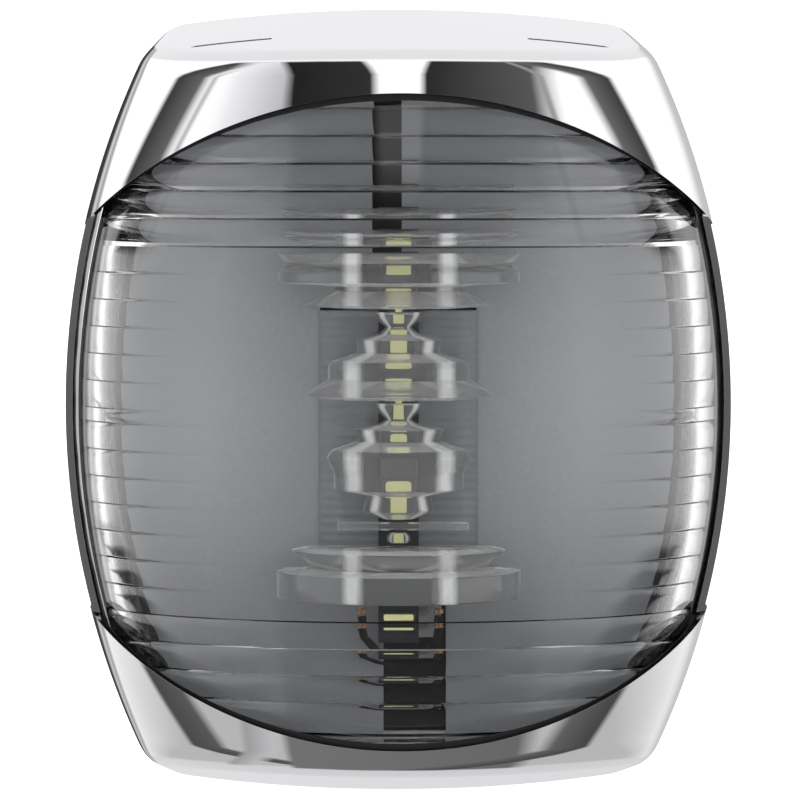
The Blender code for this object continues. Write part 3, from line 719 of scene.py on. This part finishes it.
def makeSeal(half):
    # A thin crescent under the cover: its rows run from the lip, which thins out to the sides by the square
    # of the reach, to a line a little above the window's edge. The black lip below the window's edge is
    # partly the seal and partly a painted shadow of the gap under the cover's edge.
    back = cover["windowBack"] + seal["behindWindow"]
    columns = planColumns(back, seal["frontColumns"], seal["sideColumns"])
    sign = 1.0 if half == "upper" else -1.0
    grids = []
    for inset in (cover["wall"] + seal["gap"], cover["wall"] + seal["gap"] + seal["wall"]):
        edge = windowHeights(columns, inset, half)
        top = windowHeights(columns, inset, half, seal["covered"])
        lip = seal["lip"] * (1 - seal["lipTaper"] * columns[0] ** 2)
        t = np.linspace(0.0, 1.0, seal["rows"])[None, :]
        height = (edge - lip)[:, None] * (1 - t) + top[:, None] * t
        points = placeColumns(columns, halfWidthAt(height, inset), sign * height)
        grids.append(points if sign > 0 else points[:, ::-1])
    made = hollowMesh(half + "WindowSeal", grids[0], grids[1], finishes["black_rubber"], smoothAngle=40.0)
    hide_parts(half + "_window_seal")
    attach(made, "base")


for half in ("upper", "lower"):
    makeSeal(half)
print("seals made")

# Light-emitting diodes: each package has a shallow well with a phosphor window in it. The windows are
# width, low and high.
diodes = {
    "led_1": ((1.9 * mm, 11.4 * mm, 14.2 * mm), (0.75 * mm, 10.0 * mm, 11.0 * mm)),
    "led_2": ((0.75 * mm, 8.2 * mm, 8.8 * mm), (1.2 * mm, 5.2 * mm, 7.9 * mm)),
    "led_3": ((2.0 * mm, 1.1 * mm, 3.1 * mm), (0.7 * mm, -1.5 * mm, 0.6 * mm)),
    "led_4": ((1.2 * mm, -5.0 * mm, -2.7 * mm),),
    "led_5": ((1.9 * mm, -9.8 * mm, -8.4 * mm), (1.15 * mm, -12.8 * mm, -10.4 * mm)),
    "led_pilot": ((0.6 * mm, -15.4 * mm, -14.7 * mm),),
    "led_bottom": ((3.4 * mm, -24.45 * mm, -23.75 * mm),),
}
diode = {
    "shelf": 0.12 * mm,
    "corner": 0.3 * mm,
    "cornerShare": 0.3,
    "cornerSteps": 5,
    "windowCorner": 0.45,
    "windowBack": 0.9,  # shares of the shelf
    "windowStep": 0.2,
    "windowFace": (0.86, 0.92, 0.8),  # shares of the width, height and corner
}


def roundedLoop(x, z, halfWide, halfHigh, corner):
    # A rectangle in the XZ plane whose four corners are quarter circles.
    turn = np.linspace(0.0, math.pi / 2, diode["cornerSteps"])
    quarter = np.arange(4)[:, None] * math.pi / 2 + turn[None, :]
    signX = np.array([1.0, -1.0, -1.0, 1.0])[:, None]
    signZ = np.array([1.0, 1.0, -1.0, -1.0])[:, None]
    px = x + signX * (halfWide - corner) + corner * np.cos(quarter)
    pz = z + signZ * (halfHigh - corner) + corner * np.sin(quarter)
    return np.stack([px.reshape(-1), pz.reshape(-1)], axis=1)


def stackLoops(name, loops, finish):
    # Loops of the same count, each with its depth, are joined by quads, and the first and last are closed.
    count = len(loops[0][1])
    rings = [
        np.stack([ring[:, 0], np.full(count, -depth), ring[:, 1]], axis=1) for depth, ring in loops
    ]
    points = np.concatenate(rings)
    step = np.arange(count)
    following = (step + 1) % count
    quads = np.concatenate([
        np.stack([step, following, following + count, step + count], axis=1) + level * count
        for level in range(len(loops) - 1)
    ])
    caps = [step[None, ::-1], step[None, :] + (len(loops) - 1) * count]
    made = meshFrom(name, points, [quads] + caps, finish, 40.0)
    bm = bmesh.new()
    bm.from_mesh(made.data)
    bmesh.ops.recalc_face_normals(bm, faces=bm.faces)
    bm.to_mesh(made.data)
    bm.free()
    return made


def makeDiode(node, windows):
    low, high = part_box(node)
    x, z = (low.x + high.x) / 2, (low.z + high.z) / 2
    halfWide, halfHigh = (high.x - low.x) / 2, (high.z - low.z) / 2
    corner = min(diode["corner"], diode["cornerShare"] * min(halfWide, halfHigh))
    front, back = -low.y, -high.y
    shelf = diode["shelf"]
    faceWide, faceHigh, faceCorner = diode["windowFace"]
    words = node.split("_")
    name = words[0] + words[1].capitalize()
    package = stackLoops(name + "Package", [
        (back, roundedLoop(x, z, halfWide, halfHigh, corner)),
        (front - 2 * shelf, roundedLoop(x, z, halfWide, halfHigh, corner)),
        (front - shelf, roundedLoop(x, z, halfWide - shelf, halfHigh - shelf, corner)),
    ], finishes["diode_package"])
    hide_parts(node)
    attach(package, "base")
    for number, (width, bottom, top) in enumerate(windows):
        middle, wide, high = (bottom + top) / 2, width / 2, (top - bottom) / 2
        corner = diode["windowCorner"] * min(wide, high)
        edge = roundedLoop(x, middle, wide, high, corner)
        face = roundedLoop(x, middle, wide * faceWide, high * faceHigh, corner * faceCorner)
        window = stackLoops(name + "Phosphor" + str(number + 1), [
            (front - shelf * diode["windowBack"], edge),
            (front - shelf * diode["windowStep"], edge),
            (front, face),
        ], finishes["phosphor_yellow"])
        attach(window, "base")


for node, windows in diodes.items():
    makeDiode(node, windows)
print("diodes made")

# Board holder: level grooves across its front, and a thin flange over the edges of the screens.
holder = {
    "groovePitch": 1.0 * mm,
    "grooveDepth": 0.14 * mm,
    "flange": 0.45 * mm,
    "flangeWall": 0.5 * mm,
    "sink": 1.35 * mm,
    "sinkFrom": 0.72,  # share of the half width
    "columns": 40,
    "grooveRows": 8,
}


def makeHolder():
    # The front is a grid over x and z. Its depth is the CAD front, less a share of the groove depth that
    # goes with the square of a sine of the height, and it falls back smoothly to the flange at both sides.
    low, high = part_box("board_holder")
    rows = int((high.z - low.z) / holder["groovePitch"]) * holder["grooveRows"]
    z = np.linspace(low.z, high.z, rows)
    half = high.x + holder["flange"]
    x = half * np.sin(np.linspace(-math.pi / 2, math.pi / 2, holder["columns"]))
    side = np.clip((np.abs(x) / half - holder["sinkFrom"]) / (1 - holder["sinkFrom"]), 0.0, 1.0)
    fall = side**2 * (3 - 2 * side) * holder["sink"]
    groove = np.sin(math.pi * (z - low.z) / holder["groovePitch"]) ** 2 * holder["grooveDepth"]
    front = low.y + fall[:, None] + groove[None, :] * (1 - side[:, None] ** 4)
    back = np.where(np.abs(x)[:, None] > high.x, front + holder["flangeWall"], high.y)
    back = np.broadcast_to(back, front.shape)
    across = np.broadcast_to(x[:, None], front.shape)
    up = np.broadcast_to(z[None, :], front.shape)
    made = hollowMesh(
        "boardHolder", np.stack([across, front, up], axis=-1), np.stack([across, back, up], axis=-1),
        finishes["holder_grey"], smoothAngle=40.0,
    )
    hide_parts("board_holder")
    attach(made, "base")


makeHolder()
print("holder made")

# Lead posts. The profile is the radius and the height from the post's top, in shares of the CAD post.
post = {
    "profile": (
        (0.0, 0.0), (0.35, 0.0), (0.5, 0.08), (0.5, 0.4), (0.3, 0.48), (0.3, 0.62), (0.55, 0.7),
        (0.55, 1.0), (0.0, 1.0),
    ),
    "columns": 25,
}


def makePost(word):
    # The profile is carried round the post's upright axis.
    low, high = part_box("lead_post_" + word)
    centre = (low + high) / 2
    share = np.array(post["profile"])
    radius = share[:, 0] * (high.x - low.x) / 2
    height = high.z - share[:, 1] * (high.z - low.z)
    angle = np.linspace(0.0, 2 * math.pi, post["columns"])
    x = centre.x + np.cos(angle)[:, None] * radius[None, :]
    y = centre.y + np.sin(angle)[:, None] * radius[None, :]
    z = np.broadcast_to(height[None, :], x.shape)
    points = np.stack([x, y, z], axis=-1)
    flat = points.reshape(-1, 3)
    whole, triangles = splitFaces(weldMap(flat)[gridQuads(*points.shape[:2])[:, ::-1]])
    made = meshFrom("leadPost" + word.capitalize(), flat, [whole, triangles], finishes["brass"], 40.0)
    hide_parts("lead_post_" + word)
    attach(made, "base")


for word in ("left", "right"):
    makePost(word)
print("posts made")

# Turned optics: the radius and height of each profile's corners, in millimetres.
optic = {"edge": 0.25 * mm, "edgeRows": 4, "columns": 97}
optics = {
    "upper_ring_optic": (
        (0, 17.3), (13.8, 17.3), (13.0, 16.0), (13.8, 15.1), (13.8, 13.9), (7.5, 13.5), (7.4, 13.0),
        (10.6, 11.4), (7.2, 11.0), (0, 11.0),
    ),
    "middle_optic": (
        (0, 10.6), (2.9, 10.6), (2.6, 9.9), (1.4, 8.8), (2.4, 8.0), (4.9, 7.4), (4.6, 6.0), (7.6, 5.0),
        (8.1, 4.3), (8.0, 3.0), (10.8, 1.2), (7.6, 0.7), (0, 0.7),
    ),
    "waist_optic": (
        (0, 0.3), (2.9, 0.3), (2.6, -0.4), (1.4, -1.6), (2.4, -2.2), (5.1, -2.7), (4.6, -4.0), (7.6, -5.0),
        (8.2, -5.8), (7.4, -7.8), (7.4, -9.5), (3.6, -10.2), (4.1, -11.9), (1.8, -12.9), (0, -12.9),
    ),
    "pilot_optic": ((0, -14.4), (1.0, -14.4), (1.4, -15.0), (1.2, -15.6), (0, -15.6)),
    "lower_ring_optic": (
        (0, -15.9), (10.6, -15.9), (12.3, -16.3), (10.0, -18.3), (13.9, -18.6), (13.9, -21.7), (0, -21.7),
    ),
}


def roundedProfile(corners, radius, rows):
    # Each corner becomes a short quadratic curve that starts and ends up to one radius away from it.
    points = np.array(corners, float) * mm
    before = points[:-2] - points[1:-1]
    after = points[2:] - points[1:-1]
    longBefore = np.linalg.norm(before, axis=1)
    longAfter = np.linalg.norm(after, axis=1)
    reach = np.minimum(radius, 0.4 * np.minimum(longBefore, longAfter))
    start = points[1:-1] + before * (reach / longBefore)[:, None]
    end = points[1:-1] + after * (reach / longAfter)[:, None]
    t = np.linspace(0.0, 1.0, rows)[None, :, None]
    curve = (1 - t) ** 2 * start[:, None] + 2 * t * (1 - t) * points[1:-1][:, None] + t**2 * end[:, None]
    return np.concatenate([points[:1], curve.reshape(-1, 2), points[-1:]])


def makeOptic(name, corners):
    # A rounded profile carried through the front half circle, closed by flat strips across its back.
    profile = roundedProfile(corners, optic["edge"], optic["edgeRows"])
    angle = np.linspace(-math.pi / 2, math.pi / 2, optic["columns"])
    radius, height = profile[:, 0], profile[:, 1]
    x = np.sin(angle)[:, None] * radius[None, :]
    y = -bodyShape["axisDepth"] - np.cos(angle)[:, None] * radius[None, :]
    z = np.repeat(height[None, :], len(angle), axis=0)
    points = np.stack([x, y, z], axis=-1)
    across, along = points.shape[:2]
    flat = points.reshape(-1, 3)
    welded = weldMap(flat)
    front = gridQuads(across, along)[:, ::-1]
    row = np.arange(along - 1)
    last = (across - 1) * along
    back = np.stack([row, row + 1, last + row + 1, last + row], axis=1)[:, ::-1]
    whole, triangles = splitFaces(welded[np.concatenate([front, back])])
    word = name.split("_")
    made = meshFrom(
        word[0] + "".join(w.capitalize() for w in word[1:]), flat, [whole, triangles],
        finishes["clear_optic"], 35.0,
    )
    bm = bmesh.new()
    bm.from_mesh(made.data)
    bmesh.ops.dissolve_degenerate(bm, edges=bm.edges, dist=0.001 * mm)
    bmesh.ops.recalc_face_normals(bm, faces=bm.faces)
    bm.to_mesh(made.data)
    bm.free()
    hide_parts(name)
    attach(made, "base")


for name, corners in optics.items():
    makeOptic(name, corners)
print("optics made")

# Studio.
studio = {
    "aim": (0.15 * mm, -16.0 * mm, 0.6 * mm),
    "distance": 0.6,
    "azimuth": -0.69,
    "elevation": 2.0,
    "frameWidth": 91.1 * mm,
    "clip": (0.01, 50.0),
    "worldStrength": 1.25,
    "dome": (1.35, 1.35, 1.35, 1.0),
    "sky": (1.0, 1.0, 1.0, 1.0),
    "ground": (0.45, 0.45, 0.455, 1.0),
    "groundToSky": (-0.5, -0.05),
    "panelSoftness": 1.5,
    "leanFrom": 20.0,
    "floorSize": 6.0,
    "floorGap": 0.05 * mm,
    "floorGlow": 0.35,
}

# Each panel, as the angles of the way a mirror faces to show it: left, right, low, high, softness at the
# left and right, shade at the left and right, and how far it leans outwards as it rises.
studioPanels = (
    (-200.0, 200.0, 46.0, 91.0, 2.0, 2.0, 0.74, 0.74, 0.0),
    (-200.0, 200.0, -91.0, -47.0, 2.0, 2.0, 0.62, 0.56, 0.0),
    (-28.0, 26.0, -17.5, 17.5, 9.0, 9.0, 0.10, 0.10, 0.0),
    (-92.0, -78.0, -60.0, 60.0, 1.5, 2.0, 0.02, 0.05, 0.0),
    (-77.0, -74.0, -60.0, 60.0, 0.8, 0.8, 0.35, 0.35, 0.0),
    (74.0, 92.0, -60.0, 60.0, 3.0, 2.0, 0.55, 0.35, 0.0),
    (-61.5, -50.5, 11.0, 43.0, 1.0, 1.6, 0.03, 0.13, 1.0),
    (-49.0, -47.5, 11.0, 43.0, 0.6, 0.6, 0.45, 0.45, 1.0),
    (-41.0, -23.0, 13.0, 43.0, 3.0, 1.0, 0.90, 0.42, 0.3),
    (-23.0, -4.5, 15.0, 43.0, 1.2, 1.0, 0.015, 0.03, -0.15),
    (4.3, 31.6, 15.0, 43.0, 0.8, 3.5, 0.02, 0.10, 0.1),
    (32.5, 34.0, 13.0, 43.0, 0.5, 0.5, 0.30, 0.30, -0.4),
    (47.0, 56.5, 11.0, 43.0, 1.5, 1.0, 0.14, 0.03, -1.0),
    (-59.5, -49.0, -50.0, -10.0, 1.0, 1.5, 0.06, 0.10, -1.5),
    (-33.0, -25.5, -50.0, -14.0, 1.0, 2.0, 0.30, 0.50, 0.3),
    (-24.5, 28.0, -50.0, -14.0, 1.0, 2.5, 0.16, 0.13, 0.0),
    (39.5, 52.0, -50.0, -10.0, 2.0, 1.0, 0.12, 0.05, 1.4),
)


def makeCamera():
    data = bpy.data.cameras.new("camera")
    made = bpy.data.objects.new("camera", data)
    bpy.context.scene.collection.objects.link(made)
    a = math.radians(studio["azimuth"])
    e = math.radians(studio["elevation"])
    back = Vector((math.sin(a) * math.cos(e), -math.cos(a) * math.cos(e), math.sin(e)))
    made.location = Vector(studio["aim"]) + back * studio["distance"]
    made.rotation_mode = "QUATERNION"
    made.rotation_quaternion = back.to_track_quat("Z", "Y")
    data.lens = data.sensor_width * studio["distance"] / studio["frameWidth"]
    data.clip_start, data.clip_end = studio["clip"]
    bpy.context.scene.camera = made


def makeFloor():
    bm = bmesh.new()
    bmesh.ops.create_grid(bm, x_segments=1, y_segments=1, size=studio["floorSize"])
    mesh = bpy.data.meshes.new("studioFloor")
    bm.to_mesh(mesh)
    bm.free()
    made = bpy.data.objects.new("studioFloor", mesh)
    made.location = (0.0, 0.0, cadLow.z - studio["floorGap"])
    bpy.context.scene.collection.objects.link(made)
    material, f, shader = newMaterial("studioFloor")
    setShader(f, shader, {
        "Base Color": (0.9, 0.9, 0.9, 1),
        "Roughness": 0.9,
        "Specular IOR Level": 0.0,
        "Emission Color": (1, 1, 1, 1),
        "Emission Strength": studio["floorGlow"],
    })
    mesh.materials.append(material)
    made.visible_glossy = False
    made.visible_transmission = False


def makeWorld():
    # The studio round the light, which mirror and glass show. Its panels are laid out by the direction
    # halfway between each direction of the sky and the front: the way a polished surface faces when it
    # mirrors that sky. Matt surfaces are lit by an even dome, and the backdrop is plain white.
    world = bpy.data.worlds.new("studio")
    bpy.context.scene.world = world
    world.use_nodes = True
    f = Finish(world.node_tree)
    f.nodes.clear()
    way = f.node("ShaderNodeTexCoord", output="Generated")
    slope = math.radians(studio["elevation"])
    front = (0.0, -math.cos(slope), math.sin(slope))
    middle = f.node("ShaderNodeVectorMath", {"operation": "ADD"}, [way, front])
    middle = f.node("ShaderNodeVectorMath", {"operation": "NORMALIZE"}, [middle])
    x, y, z = f.split(middle)
    around = x.calc("ARCTAN2", x, y * -1.0) * math.degrees(1.0)
    rise = z.calc("ARCSINE", z) * math.degrees(1.0)
    height = f.split(way)[2]
    soft = studio["panelSoftness"]
    toSky = f.spread(height, *studio["groundToSky"], 0.0, 1.0)
    colour = f.mixColour(toSky, studio["ground"], studio["sky"])
    for left, right, low, high, softLeft, softRight, shadeLeft, shadeRight, lean in studioPanels:
        edge = math.copysign(studio["leanFrom"], low)
        centre = around - (rise - edge) * lean
        mask = (
            f.spread(centre, left - softLeft, left + softLeft, 0.0, 1.0)
            * f.spread(centre, right - softRight, right + softRight, 1.0, 0.0)
            * f.spread(rise, low - soft, low + soft, 0.0, 1.0)
            * f.spread(rise, high - soft, high + soft, 1.0, 0.0)
        )
        across = f.spread(centre, left, right, 0.0, 1.0)
        first = (shadeLeft, shadeLeft, shadeLeft * 1.02, 1.0)
        second = (shadeRight, shadeRight, shadeRight * 1.02, 1.0)
        colour = f.mixColour(mask, colour, f.mixColour(across, first, second))
    bounces = f.node("ShaderNodeLightPath", output="Diffuse Depth")
    colour = f.mixColour(bounces.calc("MINIMUM", bounces, 1.0), colour, studio["dome"])
    seen = f.node("ShaderNodeLightPath", output="Is Camera Ray")
    colour = f.mixColour(seen, colour, studio["sky"])
    back = f.node("ShaderNodeBackground", None, {"Color": colour, "Strength": studio["worldStrength"]})
    f.node("ShaderNodeOutputWorld", None, {"Surface": back})


makeCamera()
makeFloor()
makeWorld()
scene = bpy.context.scene
scene.view_settings.view_transform = "Standard"
scene.cycles.max_bounces = 24
scene.cycles.transmission_bounces = 24
scene.cycles.glossy_bounces = 8
print("studio made")
